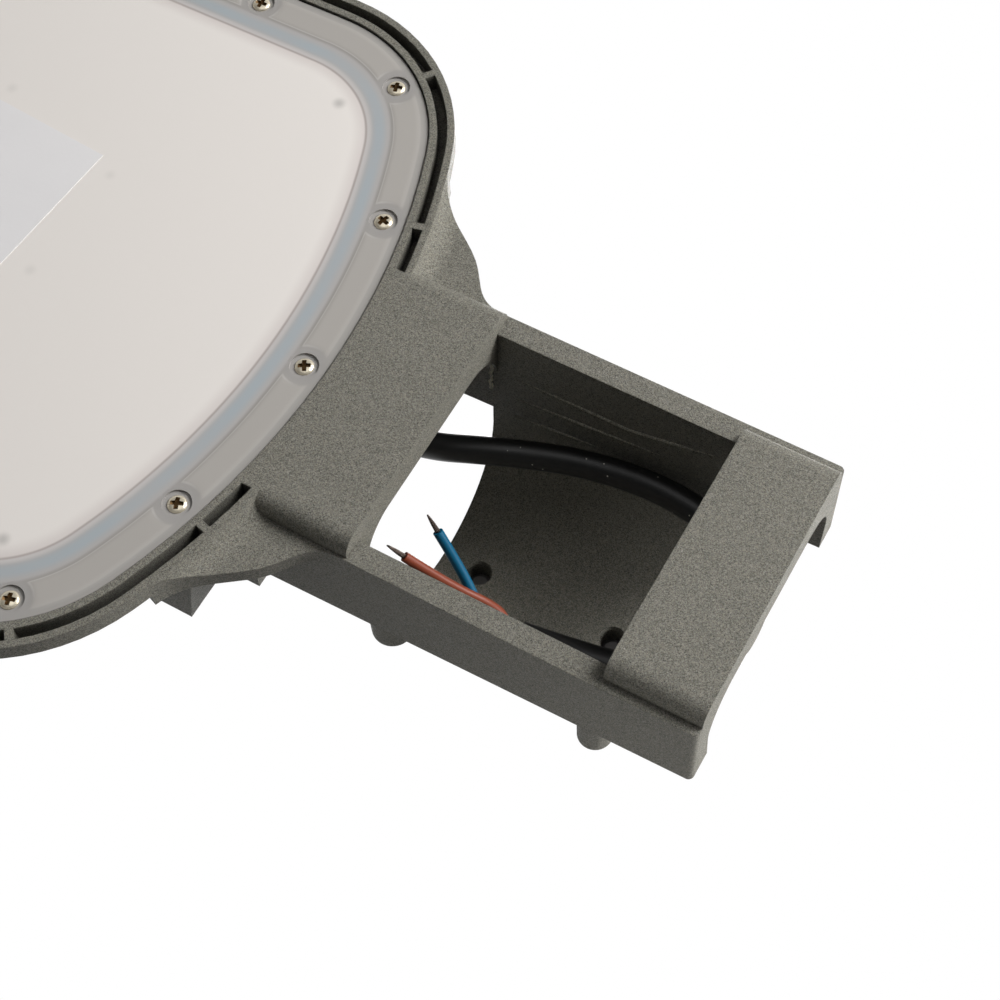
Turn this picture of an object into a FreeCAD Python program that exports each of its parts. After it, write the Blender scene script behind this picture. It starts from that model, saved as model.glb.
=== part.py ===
import FreeCAD, Part
import math
import os

from FreeCAD import Vector

# Street lamp head for a horizontal pole end, in millimetres.
# The pole's axis is the X axis, the socket's mouth is at X = 0 and the light shines towards -Z.

# Pole and socket
pole_diameter = 60.0
pole_clearance = 0.25
socket_wall = 2.75

# Neck: two walls that run from the mouth to the head, with a strap at the mouth and a bridge at the head
rail_depth = 35.25
wall_thickness = 6.0
wall_draft = 2.75
strap_length = 25.0
window_length = 67.0
bridge_length = 29.7
trough_overlap = 1.3
wall_depth_mouth = 27.2
wall_depth_bridge = 31.6
mouth_rounding = 1.5
strap_lip = 2.5
bridge_lip = 0.7
pad_roll = 4.8
strap_floor = 3.75
passage_corner = 12.0
rib_width = 10.0
rib_height = 2.55
rib_offset = -9.0

# Bosses on the neck
clamp_spacing = 41.0
clamp_edge_distance = 16.0
clamp_boss_radius = 9.0
clamp_boss_height = 8.4
clamp_hole_diameter = 7.2
clamp_bolt_diameter = 7.0
clamp_bolt_recess = 3.25
clamp_bolt_length = 12.0
clamp_head_width = 13.0
clamp_head_height = 5.3
bridge_boss_radius = 5.5
bridge_boss_setback = 5.7
bridge_boss_rise = 5.75
strap_boss_radius = 4.5
strap_boss_setback = 2.8
strap_boss_rise = 5.0

# Webs between the neck and the head
web_thickness = 4.5
web_start = 2.0
web_reach = 29.5
web_knee = Vector(12.5, 9.3, 0)
web_elbow = Vector(26.0, 20.2, 0)
web_fillet = 6.0

# Head outline, measured at the edge of the light cover
head_length = 353.5
head_half_width = 100.5
end_radius = 197.0
corner_radius = 46.0

# Rim, slot round the cover and back shell; the inner wall's width includes the gap round the cover
rim_rise = 5.3
inner_wall = 2.25
slot_width = 2.75
slot_depth = 5.3
slot_rib = 2.0
slot_stop = 3.8
outer_wall = 1.9
back_rise = 21.2
back_inset = 18.0
ledge_width = 17.5
floor_thickness = 3.5

# Light cover, its gasket and its screws
cover_thickness = 3.0
cover_sink = 0.65
cover_gap = 0.3
gasket_inset = 11.0
gasket_width = 4.5
gasket_depth = 1.5
screw_inset = 5.8
end_station_angle = 14.2
corner_station_angle = 52.4
side_station_pitch = 48.2
side_station_count = 5
screw_diameter = 3.0
screw_length = 9.0
screw_head_diameter = 4.9
screw_head_height = 1.4
screw_recess_diameter = 7.4
screw_recess_depth = 2.0
thread_clearance = 0.05
hole_clearance = 0.2

# Light board
board_inset = 22.0
board_thickness = 2.0
pad_thickness = 0.5
chip_size = 3.0
chip_height = 1.0
chip_pitch_x = 22.0
chip_pitch_y = 18.0
chip_columns = 12
chip_rows = 7
board_screw_margin = 5.2
board_screw_diameter = 3.0
board_screw_grip = 2.5
board_screw_head_diameter = 6.0
board_screw_head_height = 2.0
board_terminal_size = Vector(10.0, 14.0, 4.0)
board_terminal_setback = 7.0

# Driver, its pocket and the raised box over it
bulkhead_setback = 2.3
bulkhead_thickness = 5.0
bulkhead_length = 14.0
bulkhead_rise = 15.5
driver_length = 90.0
driver_width = 52.0
driver_height = 34.0
driver_clearance = 1.0
driver_setback = 24.0
driver_step = 16.0
driver_rounding = 3.0
driver_lid_thickness = 1.2
driver_lid_margin = 2.0
driver_flange_length = 10.0
driver_flange_width = 30.0
driver_flange_thickness = 2.0
driver_screw_diameter = 3.6
driver_screw_spacing = 18.0
driver_screw_head_diameter = 7.0
driver_screw_head_height = 2.2
driver_screw_grip = 7.0
pocket_half_width = 30.0
pocket_height = 22.5
pocket_margin = 3.0
box_half_width = 60.0
box_lead = 2.5
box_margin = 14.0
box_rise = 14.85
box_lean = 8.7
box_side_lean = 1.5
box_rounding = 5.0
dome_wall = 4.0
dome_slope = 11.0

# Cooling fins on the back
fin_pitch = 17.0
fin_pairs = 4
fin_thickness = 2.6
fin_height = 18.0
fin_slope = 24.0
fin_end_gap = 5.0

# Cable gland and terminal block
gland_y = 8.6
gland_z = -6.0
gland_thread_diameter = 16.0
gland_flat_width = 19.0
gland_flange_length = 4.0
gland_seal_thickness = 1.0
gland_cap_length = 8.0
gland_cap_radius = 9.0
gland_cap_wall = 2.0
gland_cap_chamfer = 1.5
gland_nut_length = 5.0
gland_thread_rest = 1.0
gland_sleeve_wall = 1.3
running_clearance = 0.1
terminal_size = Vector(11.0, 20.0, 12.0)
terminal_gap = 2.0
terminal_margin = 3.0

# Supply cable: jacket, two cores and their bare ends
jacket_diameter = 7.5
core_diameter = 2.6
core_spacing = 3.5
strand_diameter = 1.3
strand_length = 5.4
arc_share = 0.45

# Blank sticker on the light cover
label_length = 90.0
label_width = 62.0
label_thickness = 0.15
label_turn = 4.0
label_setback = 88.1
label_side = 30.3

# Neck places
socket_radius = pole_diameter / 2 + pole_clearance
window_half_width = socket_radius + wall_draft
neck_half_width = window_half_width + wall_thickness
window_end = strap_length + window_length
head_start = window_end + bridge_length
bulkhead_face = head_start + bulkhead_setback

# Levels, from the light side to the sky side
rail_z = -rail_depth
rim_z = rail_z - rim_rise
cover_z = rim_z + cover_sink
ledge_z = cover_z + cover_thickness
strap_under_z = rail_z + strap_floor
back_z = rail_z + back_rise
cavity_z = back_z - floor_thickness
pad_z = cavity_z - pad_thickness
board_z = pad_z - board_thickness
pocket_z = cavity_z + pocket_height
driver_top_z = pocket_z + driver_step
driver_bottom_z = driver_top_z - driver_height
box_z = back_z + box_rise
dome_z = driver_top_z + dome_wall
dome_base_z = box_z

# Head outline places
head_middle = head_start + head_length / 2
corner_y = head_half_width - corner_radius
centre_distance = end_radius - corner_radius
centre_offset = math.sqrt(centre_distance ** 2 - corner_y ** 2)
end_centre_shift = head_length / 2 - end_radius
corner_centre_shift = end_centre_shift + centre_offset
tangent_angle = math.degrees(math.asin(corner_y / centre_distance))
rim_offset = inner_wall + slot_width + outer_wall

# Driver places
pocket_start = bulkhead_face + bulkhead_thickness
driver_start = pocket_start + driver_setback
driver_end = driver_start + driver_length
pocket_end = driver_end + driver_flange_length + pocket_margin
box_start = bulkhead_face - box_lead
box_end = pocket_end + box_margin


def box(x_range, y_range, z_range):
    size = [high - low for low, high in (x_range, y_range, z_range)]
    return Part.makeBox(*size, Vector(x_range[0], y_range[0], z_range[0]))


def upright(x, y, z_start, z_end, radius):
    height = z_end - z_start
    return Part.makeCylinder(radius, height, Vector(x, y, z_start))


def along_x(x_start, x_end, radius, y=0.0, z=0.0):
    return Part.makeCylinder(radius, x_end - x_start, Vector(x_start, y, z), Vector(1, 0, 0))


def polygon(points):
    return Part.makePolygon(points + points[:1])


def extrude(wire, direction):
    return Part.Face(wire).extrude(direction)


def hexagon(flat_width, centre, across, up):
    corner = flat_width / math.sqrt(3)
    points = []
    for step in range(6):
        turn = math.radians(60 * step)
        points.append(centre + across * (corner * math.cos(turn)) + up * (corner * math.sin(turn)))
    return polygon(points)


def rectangle(x_range, half_width, z):
    (x_low, x_high) = x_range
    return polygon([
        Vector(x_low, -half_width, z),
        Vector(x_high, -half_width, z),
        Vector(x_high, half_width, z),
        Vector(x_low, half_width, z),
    ])


def fuse_all(shapes):
    return shapes[0].multiFuse(shapes[1:]).removeSplitter()


def mirrored(shape):
    return shape.mirror(Vector(0, 0, 0), Vector(0, 1, 0))


def edges_where(shape, test):
    return [edge for edge in shape.Edges if test(edge.BoundBox)]


# Head outline: two end arcs, four corner arcs and two straight sides, offset outwards by a distance
def head_outline(offset, z):
    end = end_radius + offset
    corner = corner_radius + offset
    half = head_half_width + offset
    join = math.radians(tangent_angle)
    middle = math.radians((tangent_angle + 90) / 2)

    def at(side_x, side_y, shift, centre_y, reach, angle):
        x = head_middle + side_x * (shift + reach * math.cos(angle))
        return Vector(x, side_y * (centre_y + reach * math.sin(angle)), z)

    def corner_arc(side_x, side_y):
        return [
            at(side_x, side_y, end_centre_shift, 0, end, join),
            at(side_x, side_y, corner_centre_shift, corner_y, corner, middle),
            Vector(head_middle + side_x * corner_centre_shift, side_y * half, z),
        ]

    arcs = {(sx, sy): corner_arc(sx, sy) for sx in (-1, 1) for sy in (-1, 1)}
    tip = end_centre_shift + end
    edges = [
        Part.Arc(*arcs[-1, 1]),
        Part.LineSegment(arcs[-1, 1][2], arcs[1, 1][2]),
        Part.Arc(*reversed(arcs[1, 1])),
        Part.Arc(arcs[1, 1][0], Vector(head_middle + tip, 0, z), arcs[1, -1][0]),
        Part.Arc(*arcs[1, -1]),
        Part.LineSegment(arcs[1, -1][2], arcs[-1, -1][2]),
        Part.Arc(*reversed(arcs[-1, -1])),
        Part.Arc(arcs[-1, -1][0], Vector(head_middle - tip, 0, z), arcs[-1, 1][0]),
    ]
    return Part.Wire([edge.toShape() for edge in edges])


def head_plate(offset, z_start, z_end):
    return extrude(head_outline(offset, z_start), Vector(0, 0, z_end - z_start))


def head_band(outer, inner, z_start, z_end):
    return head_plate(outer, z_start, z_end).cut(head_plate(inner, z_start, z_end))


# How far the head reaches along X from its middle, at a distance from the X axis
def head_reach(offset, y):
    end = end_radius + offset
    if abs(y) < end * math.sin(math.radians(tangent_angle)):
        return end_centre_shift + math.sqrt(end ** 2 - y ** 2)
    corner = corner_radius + offset
    return corner_centre_shift + math.sqrt(corner ** 2 - (abs(y) - corner_y) ** 2)


# Places round the head's edge that carry a cover screw and, outside it, a rib across the slot.
# Each is x, y and the direction out of the head in degrees.
def edge_stations(offset):
    places = []
    for side in (-1, 1):
        for turn in (-end_station_angle, 0, end_station_angle):
            angle = math.radians(turn)
            reach = end_radius + offset
            x = head_middle + side * (end_centre_shift + reach * math.cos(angle))
            places.append((x, reach * math.sin(angle), turn * side))
        for turn in (-corner_station_angle, corner_station_angle):
            angle = math.radians(turn)
            reach = corner_radius + offset
            x = head_middle + side * (corner_centre_shift + reach * math.cos(angle))
            y = math.copysign(corner_y, turn) + reach * math.sin(angle)
            places.append((x, y, turn * side))
        for step in range(side_station_count):
            x = head_middle + side_station_pitch * (step - (side_station_count - 1) / 2)
            places.append((x, side * (head_half_width + offset), 90))
    return places


def passage_half_width(z):
    return socket_radius - wall_draft * z / rail_depth


# Socket passage: a half circle over two drafted sides, with rounded corners beside the strap
def passage():
    floor_half = passage_half_width(strap_under_z)
    corners = [
        Vector(0, socket_radius, 0),
        Vector(0, floor_half, strap_under_z),
        Vector(0, -floor_half, strap_under_z),
        Vector(0, -socket_radius, 0),
    ]
    sides = [Part.makeLine(a, b) for a, b in zip(corners, corners[1:])]
    roof = Part.Arc(corners[-1], Vector(0, 0, socket_radius), corners[0]).toShape()
    profile = Part.Wire(sides + [roof])
    solid = extrude(profile, Vector(bulkhead_face, 0, 0))
    floor_edges = edges_where(solid, lambda b: b.ZMax < strap_under_z + 0.01 and b.XLength > 1)
    return solid.makeFillet(passage_corner, floor_edges)


# Window between the strap and the bridge
def window():
    z_top = strap_under_z + passage_corner
    z_bottom = rim_z - 1
    points = [
        Vector(strap_length, side * passage_half_width(z), z)
        for side, z in ((1, z_top), (1, z_bottom), (-1, z_bottom), (-1, z_top))
    ]
    return extrude(polygon(points), Vector(window_length, 0, 0))


def neck_walls():
    slope = (wall_depth_bridge - wall_depth_mouth) / window_end
    x_end = bulkhead_face + bulkhead_thickness
    points = [
        Vector(0, -neck_half_width, rail_z),
        Vector(0, -neck_half_width, rail_z + wall_depth_mouth),
        Vector(x_end, -neck_half_width, rail_z + wall_depth_mouth + slope * x_end),
        Vector(x_end, -neck_half_width, rail_z),
    ]
    block = extrude(polygon(points), Vector(0, 2 * neck_half_width, 0))
    mouth_corners = edges_where(block, lambda b: b.XMax < 0.01 and b.YLength < 0.01)
    return block.makeFillet(mouth_rounding, mouth_corners)


def trough():
    outer = socket_radius + socket_wall
    start = Vector(strap_length, 0, 0)
    length = window_length + trough_overlap
    roof = Part.makeCylinder(outer, length, start, Vector(1, 0, 0))
    skirt = box((strap_length, strap_length + length), (-outer, outer), (rail_z + wall_depth_mouth, 0))
    upper = box((strap_length, strap_length + length), (-outer, outer), (0, outer))
    return fuse_all([roof.common(upper), skirt])


# Strap pad: its two long edges are rolled down to the rails
def strap_pad():
    half = neck_half_width - strap_lip
    block = box((0, strap_length), (-half, half), (rim_z, rail_z))
    rolled = edges_where(block, lambda b: b.ZMax < rim_z + 0.01 and b.XLength > 1)
    return block.makeFillet(pad_roll, rolled)


# Bridge pad: rolled along its sides and level with the rim, which it runs into
def bridge_pad():
    half = neck_half_width - bridge_lip
    block = box((window_end, head_start + inner_wall), (-half, half), (rim_z, rail_z))
    rolled = edges_where(block, lambda b: b.ZMax < rim_z + 0.01 and b.XLength > 1)
    return block.makeFillet(pad_roll, rolled)


def strap_rib():
    radius = (rib_width ** 2 / 4 + rib_height ** 2) / (2 * rib_height)
    crest = strap_under_z + rib_height
    bar = along_x(0, strap_length, radius, rib_offset, crest - radius)
    return bar.common(box((0, strap_length), (-neck_half_width, neck_half_width), (strap_under_z - 1, crest)))


def side_bosses():
    places = [
        (window_end - bridge_boss_setback, bridge_boss_radius, bridge_boss_rise),
        (strap_length + strap_boss_setback, strap_boss_radius, strap_boss_rise),
    ]
    return [
        upright(x, side * (neck_half_width - radius), strap_under_z, top, radius)
        for x, radius, top in places
        for side in (-1, 1)
    ]


def clamp_places():
    first = strap_length + clamp_edge_distance
    return [first, first + clamp_spacing]


def clamp_boss_top():
    return socket_radius + clamp_boss_height


# Web beside the neck, with a hollow fillet up to the rim
def web():
    reach_y = neck_half_width + web_reach
    rim_radius = end_radius + rim_offset
    end_centre = Vector(head_middle - end_centre_shift, 0, rail_z)
    start = Vector(window_end + web_start, neck_half_width, rail_z)
    finish = Vector(head_middle - head_reach(rim_offset, reach_y), reach_y, rail_z)
    outward = (finish - end_centre).normalize()
    edge = Part.BSplineCurve()
    edge.interpolate(
        Points=[start, start + web_knee, start + web_elbow, finish],
        InitialTangent=Vector(1, 0, 0),
        FinalTangent=Vector(outward.y, -outward.x, 0),
    )
    inside = finish - outward * (rim_offset + inner_wall)
    back = Vector(inside.x, 0, rail_z)
    root = Vector(start.x, 0, rail_z)
    sides = [Part.makeLine(a, b) for a, b in ((finish, inside), (inside, back), (back, root), (root, start))]
    plan = Part.Wire([edge.toShape()] + sides)
    plate = extrude(plan, Vector(0, 0, web_thickness))
    trim = extrude(plan, Vector(0, 0, -rim_rise))

    low = Vector(end_centre.x - rim_radius - web_fillet, 0, rail_z)
    high = Vector(end_centre.x - rim_radius, 0, rim_z)
    foot = Vector(high.x, 0, rail_z)
    hollow = Vector(high.x - 0.3 * web_fillet, 0, rail_z - 0.3 * rim_rise)
    section = Part.Wire([
        Part.Arc(low, hollow, high).toShape(),
        Part.makeLine(high, foot),
        Part.makeLine(foot, low),
    ])
    fillet = Part.Face(section).revolve(end_centre, Vector(0, 0, -1), tangent_angle)
    return plate.fuse(fillet.common(trim))


def slot():
    ring = head_band(inner_wall + slot_width, inner_wall, rim_z, rim_z + slot_depth)
    neck_gap = neck_half_width - slot_stop
    solid_part = box((head_start - end_radius, head_middle), (-neck_gap, neck_gap), (rim_z, back_z))
    ribs = []
    for x, y, angle in edge_stations(inner_wall + slot_width / 2):
        rib = box((-slot_width, slot_width), (-slot_rib / 2, slot_rib / 2), (rim_z, back_z))
        rib.rotate(Vector(0, 0, 0), Vector(0, 0, 1), angle)
        rib.translate(Vector(x, y, 0))
        ribs.append(rib)
    return ring.cut([solid_part] + ribs)


def back_shell():
    rim = head_plate(rim_offset, rim_z, rail_z)
    sections = [head_outline(rim_offset, rail_z), head_outline(-back_inset, back_z)]
    return [rim, Part.makeLoft(sections, True, True)]


# Raised box over the driver, with a dome on it that takes the driver's back
def driver_box():
    base = rectangle((box_start, box_end), box_half_width, rail_z)
    top = rectangle((box_start + box_lean, box_end - box_lean), box_half_width - box_side_lean, box_z)
    block = Part.makeLoft([base, top], True, True)
    block = block.makeFillet(box_rounding, edges_where(block, lambda b: b.ZMin > rail_z + 1))

    top_margin = driver_clearance + dome_wall
    top_x = (driver_start - top_margin, driver_end + top_margin)
    top_half = driver_width / 2 + top_margin
    base_x = (top_x[0] - 1.8 * dome_slope, top_x[1] + 1.8 * dome_slope)
    dome = Part.makeLoft(
        [rectangle(base_x, top_half + dome_slope, dome_base_z - 1), rectangle(top_x, top_half, dome_z)],
        True, True,
    )
    dome = dome.makeFillet(box_rounding, edges_where(dome, lambda b: b.ZMin > dome_base_z))
    return [block, dome]


def bulkhead():
    x_range = (bulkhead_face, bulkhead_face + bulkhead_length)
    return box(x_range, (-neck_half_width, neck_half_width), (rail_z, gland_z + bulkhead_rise))


def fins():
    solids = []
    for step in range(-fin_pairs, fin_pairs + 1):
        y = step * fin_pitch
        reach = head_reach(-back_inset, abs(y) + fin_thickness) - fin_end_gap
        x_front = head_middle + reach
        beside_box = abs(y) - fin_thickness / 2 > box_half_width
        x_rear = head_middle - reach if beside_box else box_end - box_lean - box_rounding
        rear_slope = fin_slope if beside_box else 0
        root_z = back_z - floor_thickness / 2
        points = [
            Vector(x_rear, y - fin_thickness / 2, root_z),
            Vector(x_rear + rear_slope, y - fin_thickness / 2, back_z + fin_height),
            Vector(x_front - fin_slope, y - fin_thickness / 2, back_z + fin_height),
            Vector(x_front, y - fin_thickness / 2, root_z),
        ]
        solids.append(extrude(polygon(points), Vector(0, fin_thickness, 0)))
    return solids


def cavities():
    seat = head_plate(cover_gap, rim_z, ledge_z)
    main = head_plate(-ledge_width, ledge_z, cavity_z)
    pocket_half = pocket_half_width
    wide = box((pocket_start, pocket_end), (-pocket_half, pocket_half), (cavity_z, pocket_z))
    side = driver_width / 2 + driver_clearance
    deep_x = (driver_start - driver_clearance, driver_end + driver_clearance)
    deep = box(deep_x, (-side, side), (pocket_z, driver_top_z))
    groove = head_band(-gasket_inset, -gasket_inset - gasket_width, ledge_z, ledge_z + gasket_depth)
    return [seat, main, wide, deep, groove]


def driver_screw_places():
    half = driver_flange_length / 2
    return [
        (x, side * driver_screw_spacing / 2)
        for x in (driver_start - half, driver_end + half)
        for side in (-1, 1)
    ]


def board_screw_places():
    angle = math.radians(corner_station_angle)
    reach = corner_radius - board_inset - board_screw_margin
    corner_x = corner_centre_shift + reach * math.cos(angle)
    corner = (corner_x, corner_y + reach * math.sin(angle))
    corners = [
        (head_middle + side_x * corner[0], side_y * corner[1])
        for side_x in (-1, 1)
        for side_y in (-1, 1)
    ]
    middle_y = (chip_rows - 2) / 2 * chip_pitch_y
    return corners + [(head_middle, middle_y), (head_middle, -middle_y)]


def housing_holes():
    holes = []
    for x in clamp_places():
        holes.append(upright(x, 0, 0, clamp_boss_top() + 1, clamp_hole_diameter / 2))
    for x, y, angle in edge_stations(-screw_inset):
        radius = screw_diameter / 2 + thread_clearance
        holes.append(upright(x, y, ledge_z, ledge_z + screw_length, radius))
    for x, y in board_screw_places():
        radius = board_screw_diameter / 2 + thread_clearance
        holes.append(upright(x, y, cavity_z, cavity_z + board_screw_grip + hole_clearance, radius))
    for x, y in driver_screw_places():
        radius = driver_screw_diameter / 2 + thread_clearance
        holes.append(upright(x, y, pocket_z, pocket_z + driver_screw_grip + hole_clearance, radius))
    gland_radius = gland_thread_diameter / 2 + hole_clearance
    holes.append(along_x(bulkhead_face, pocket_start, gland_radius, gland_y, gland_z))
    return holes


def housing():
    bosses = [
        upright(x, 0, 0, clamp_boss_top(), clamp_boss_radius)
        for x in clamp_places()
    ]
    neck = [neck_walls(), trough(), strap_pad(), bridge_pad()] + side_bosses() + bosses
    webs = [web(), mirrored(web())]
    head = back_shell() + driver_box() + [bulkhead()] + fins()
    body = fuse_all(neck + webs + head)
    body = body.cut([passage(), window(), slot()] + cavities() + housing_holes())
    return fuse_all([body, strap_rib()])


def cover():
    plate = head_plate(0, cover_z, ledge_z)
    holes = []
    for x, y, angle in edge_stations(-screw_inset):
        holes.append(upright(x, y, cover_z, ledge_z, screw_diameter / 2 + hole_clearance))
        holes.append(upright(x, y, cover_z, cover_z + screw_recess_depth, screw_recess_diameter / 2))
    return plate.cut(holes)


def gasket():
    return head_band(-gasket_inset, -gasket_inset - gasket_width, ledge_z, ledge_z + gasket_depth)


# A screw with its head towards the light, standing on a seat at z
def screw(x, y, z, shank, head, head_height, length):
    return upright(x, y, z - head_height, z, head / 2).fuse(upright(x, y, z, z + length, shank / 2))


def cover_screws():
    seat = cover_z + screw_recess_depth
    length = ledge_z + screw_length - hole_clearance - seat
    return Part.makeCompound([
        screw(x, y, seat, screw_diameter, screw_head_diameter, screw_head_height, length)
        for x, y, angle in edge_stations(-screw_inset)
    ])


def board_layer(z_start, z_end):
    plate = head_plate(-board_inset, z_start, z_end)
    radius = board_screw_diameter / 2 + hole_clearance
    return plate.cut([upright(x, y, z_start, z_end, radius) for x, y in board_screw_places()])


def led_chips():
    chips = []
    half = chip_size / 2
    for column in range(chip_columns):
        x = head_middle + chip_pitch_x * (column - (chip_columns - 1) / 2)
        for row in range(chip_rows):
            y = chip_pitch_y * (row - (chip_rows - 1) / 2)
            chips.append(box((x - half, x + half), (y - half, y + half), (board_z - chip_height, board_z)))
    return Part.makeCompound(chips)


def board_screws():
    length = cavity_z + board_screw_grip - board_z
    head = (board_screw_head_diameter, board_screw_head_height)
    return Part.makeCompound([
        screw(x, y, board_z, board_screw_diameter, *head, length) for x, y in board_screw_places()
    ])


def board_terminal():
    size = board_terminal_size
    x = head_start + board_inset + board_terminal_setback
    body = box((x, x + size.x), (-size.y / 2, size.y / 2), (board_z - size.z, board_z))
    ports = [
        along_x(x, x + size.x / 2, size.z / 4, side * size.y / 4, board_z - size.z / 2)
        for side in (-1, 1)
    ]
    return body.cut(ports)


def driver_case():
    half = driver_width / 2
    case = box((driver_start, driver_end), (-half, half), (driver_bottom_z, driver_top_z))
    uprights = edges_where(case, lambda b: b.ZLength > 1)
    case = case.makeFillet(driver_rounding, uprights)
    flange_x = (driver_start - driver_flange_length, driver_end + driver_flange_length)
    flange_half = driver_flange_width / 2
    flange = box(flange_x, (-flange_half, flange_half), (pocket_z - driver_flange_thickness, pocket_z))
    radius = driver_screw_diameter / 2 + hole_clearance
    holes = [upright(x, y, driver_bottom_z, pocket_z, radius) for x, y in driver_screw_places()]
    return case.fuse(flange.cut(holes)).removeSplitter()


def driver_lid():
    margin = driver_lid_margin
    half = driver_width / 2 - margin
    x_range = (driver_start + margin, driver_end - margin)
    return box(x_range, (-half, half), (driver_bottom_z - driver_lid_thickness, driver_bottom_z))


def driver_screws():
    seat = pocket_z - driver_flange_thickness
    length = driver_flange_thickness + driver_screw_grip
    head = (driver_screw_head_diameter, driver_screw_head_height)
    return Part.makeCompound([
        screw(x, y, seat, driver_screw_diameter, *head, length) for x, y in driver_screw_places()
    ])


# Terminal block under the pocket's ceiling, beside the gland's nut
def terminal_block():
    size = terminal_size
    x = pocket_start + terminal_gap
    y = -pocket_half_width + terminal_margin
    body = box((x, x + size.x), (y, y + size.y), (pocket_z - size.z, pocket_z))
    ports = [
        along_x(x, x + size.x / 2, size.z / 6, y + size.y * place, pocket_z - size.z / 2)
        for place in (1 / 6, 1 / 2, 5 / 6)
    ]
    return body.cut(ports)


gland_flange_x = bulkhead_face - gland_seal_thickness - gland_flange_length
gland_mouth_x = gland_flange_x - gland_cap_length
gland_bore = jacket_diameter / 2 + running_clearance
gland_spigot = gland_cap_radius - gland_cap_wall - running_clearance


def gland_hexagon(x_start, length):
    outline = hexagon(gland_flat_width, Vector(x_start, gland_y, gland_z), Vector(0, 1, 0), Vector(0, 0, 1))
    return extrude(outline, Vector(length, 0, 0))


def gland_tube(x_start, x_end, radius):
    return along_x(x_start, x_end, radius, gland_y, gland_z)


def gland_body():
    inner_end = pocket_start + gland_nut_length + gland_thread_rest
    spigot_start = gland_mouth_x + gland_cap_wall + running_clearance
    solids = [
        gland_tube(spigot_start, gland_flange_x, gland_spigot),
        gland_hexagon(gland_flange_x, gland_flange_length),
        gland_tube(gland_flange_x, inner_end, gland_thread_diameter / 2),
    ]
    sleeve_radius = gland_bore + gland_sleeve_wall + running_clearance
    bores = [
        gland_tube(spigot_start, gland_flange_x, sleeve_radius),
        gland_tube(gland_flange_x, inner_end, gland_bore),
    ]
    return fuse_all(solids).cut(bores)


def gland_cap():
    cap = gland_tube(gland_mouth_x, gland_flange_x, gland_cap_radius)
    front = edges_where(cap, lambda b: b.XMax < gland_mouth_x + 0.01)
    cap = cap.makeChamfer(gland_cap_chamfer, front)
    hollow = gland_tube(gland_mouth_x + gland_cap_wall, gland_flange_x, gland_spigot + running_clearance)
    mouth = gland_tube(gland_mouth_x, gland_flange_x, gland_bore + running_clearance)
    return cap.cut([hollow, mouth])


def gland_locknut():
    nut = gland_hexagon(pocket_start, gland_nut_length)
    radius = gland_thread_diameter / 2 + thread_clearance
    return nut.cut(gland_tube(pocket_start, pocket_start + gland_nut_length, radius))


def gland_seal():
    x_start = bulkhead_face - gland_seal_thickness
    ring = gland_tube(x_start, bulkhead_face, gland_flat_width / 2)
    return ring.cut(gland_tube(x_start, bulkhead_face, gland_thread_diameter / 2 + thread_clearance))


def gland_sleeve():
    x_range = (gland_mouth_x + gland_cap_wall + running_clearance, gland_flange_x)
    sleeve = gland_tube(*x_range, gland_bore + gland_sleeve_wall)
    return sleeve.cut(gland_tube(*x_range, gland_bore))


# Clamp bolts stand in the two bosses over the trough, heads towards the sky
def clamp_bolts():
    tip = socket_radius + clamp_bolt_recess
    seat = tip + clamp_bolt_length
    bolts = []
    for x in clamp_places():
        outline = hexagon(clamp_head_width, Vector(x, 0, seat), Vector(1, 0, 0), Vector(0, 1, 0))
        head = extrude(outline, Vector(0, 0, clamp_head_height))
        bolts.append(upright(x, 0, tip, seat, clamp_bolt_diameter / 2).fuse(head))
    return Part.makeCompound(bolts)


# Tube along straight runs joined by tangent arcs
def tube(points, diameter, name):
    edges = []
    radii = []
    start = points[0]
    for before, corner, after in zip(points, points[1:], points[2:]):
        back = before - corner
        ahead = after - corner
        setback = arc_share * min(back.Length, ahead.Length)
        back.normalize()
        ahead.normalize()
        half_turn = (math.pi - back.getAngle(ahead)) / 2
        radius = setback / math.tan(half_turn)
        bisector = (back + ahead).normalize()
        middle = corner + bisector * (radius / math.cos(half_turn) - radius)
        edges.append(Part.makeLine(start, corner + back * setback))
        edges.append(Part.Arc(corner + back * setback, middle, corner + ahead * setback).toShape())
        start = corner + ahead * setback
        radii.append(round(radius, 1))
    edges.append(Part.makeLine(start, points[-1]))
    path = Part.Wire(edges)
    circle = Part.makeCircle(diameter / 2, points[0], points[1] - points[0])
    solid = path.makePipeShell([Part.Wire(circle)], True, False)
    section = math.pi * diameter ** 2 / 4
    print(name, "length", round(path.Length, 1), "radii", radii, "volume ratio",
          round(solid.Volume / (section * path.Length), 4))
    return solid


# The cable comes out of the gland, runs along the socket, turns back under the strap and ends in the window
supply_route = [
    Vector(gland_mouth_x + 14.6, gland_y, gland_z),
    Vector(gland_mouth_x - 5.0, gland_y, gland_z),
    Vector(84.0, 18.5, -5.8),
    Vector(62.0, 25.2, -7.6),
    Vector(38.0, 26.6, -10.0),
    Vector(14.0, 20.5, -10.8),
    Vector(7.5, 0.0, -10.0),
    Vector(14.0, -17.5, -8.2),
    Vector(34.0, -22.0, -5.6),
    Vector(54.0, -24.6, -5.2),
]
jacket_end = supply_route[-1]
jacket_direction = (supply_route[-1] - supply_route[-2]).normalize()
core_side = Vector(-jacket_direction.y, jacket_direction.x, 0) * (core_spacing / 2)
core_exit = jacket_direction * 4.0
brown_route = [
    jacket_end + core_side,
    jacket_end + core_side + core_exit,
    Vector(61.2, -22.9, -11.2),
    Vector(72.2, -26.2, -18.2),
    Vector(83.0, -28.2, -27.2),
]
blue_route = [
    jacket_end - core_side,
    jacket_end - core_side + core_exit,
    Vector(67.0, -23.0, -7.4),
    Vector(72.5, -20.5, -17.0),
    Vector(79.7, -18.2, -26.2),
]


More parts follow.
